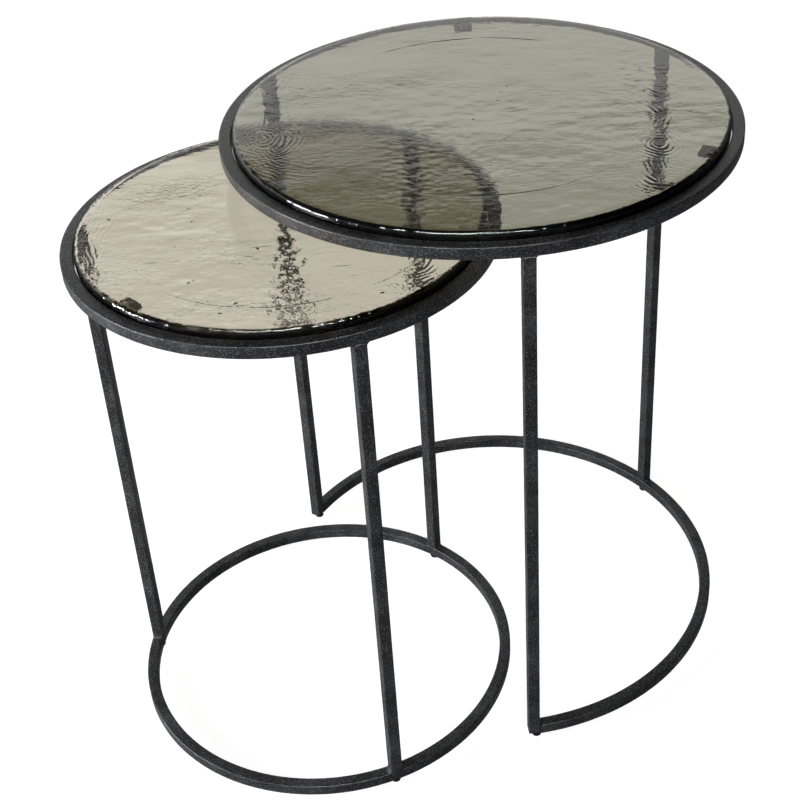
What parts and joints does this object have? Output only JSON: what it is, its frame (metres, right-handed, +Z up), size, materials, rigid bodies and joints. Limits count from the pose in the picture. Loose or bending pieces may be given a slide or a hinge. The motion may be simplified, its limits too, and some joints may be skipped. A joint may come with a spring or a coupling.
{
  "type": "nesting tables",
  "caption": "Pair of round nesting side tables: square-bar metal frames with ring bases, thick cast glass discs resting on tabs inside the rims; the lower table slides under the taller one.",
  "frame": {"origin": "middle of the pair's footprint box on the floor, with the small table partly pulled out", "axes": "+Z up; +X to the right, towards the large table's side; +Y to the back"},
  "size_m": [0.6336, 0.5692, 0.6],
  "materials": {
    "hammered_iron": "hammered dark charcoal powder coat, satin",
    "clear_pad": "translucent soft pad",
    "black_plastic": "glossy black",
    "large_cast_glass": "rippled cast glass, smoke grey-green, glossy",
    "small_cast_glass": "rippled cast glass, warm grey, glossy"
  },
  "bodies": {
    "large_table": {"large_rim": "hammered_iron", "large_base_arc": "hammered_iron", "large_leg_front": "hammered_iron", "large_leg_right": "hammered_iron", "large_leg_rear": "hammered_iron", "large_tab_rear": "hammered_iron", "large_tab_left": "hammered_iron", "large_tab_right": "hammered_iron", "large_pad_rear": "clear_pad", "large_pad_left": "clear_pad", "large_pad_right": "clear_pad", "large_glide_front": "black_plastic", "large_glide_right": "black_plastic", "large_glide_rear": "black_plastic"},
    "large_glass_top": {"large_glass": "large_cast_glass"},
    "small_table": {"small_rim": "hammered_iron", "small_base_ring": "hammered_iron", "small_leg_left": "hammered_iron", "small_leg_front": "hammered_iron", "small_leg_right": "hammered_iron", "small_tab_rear": "hammered_iron", "small_tab_front": "hammered_iron", "small_tab_right": "hammered_iron", "small_pad_rear": "clear_pad", "small_pad_front": "clear_pad", "small_pad_right": "clear_pad", "small_glide_left": "black_plastic", "small_glide_front": "black_plastic", "small_glide_right": "black_plastic"},
    "small_glass_top": {"small_glass": "small_cast_glass"}
  },
  "joints": [
    {"name": "small_table_slide", "type": "slide", "parent": "large_table", "child": "small_table", "axis": [-0.8387, -0.5446, 0], "range_m": [-0.219, 0.255]},
    {"name": "large_glass_lift", "type": "slide", "parent": "large_table", "child": "large_glass_top", "axis": [0, 0, 1], "range_m": [0, 0.05]},
    {"name": "small_glass_lift", "type": "slide", "parent": "small_table", "child": "small_glass_top", "axis": [0, 0, 1], "range_m": [0, 0.02]}
  ]
}
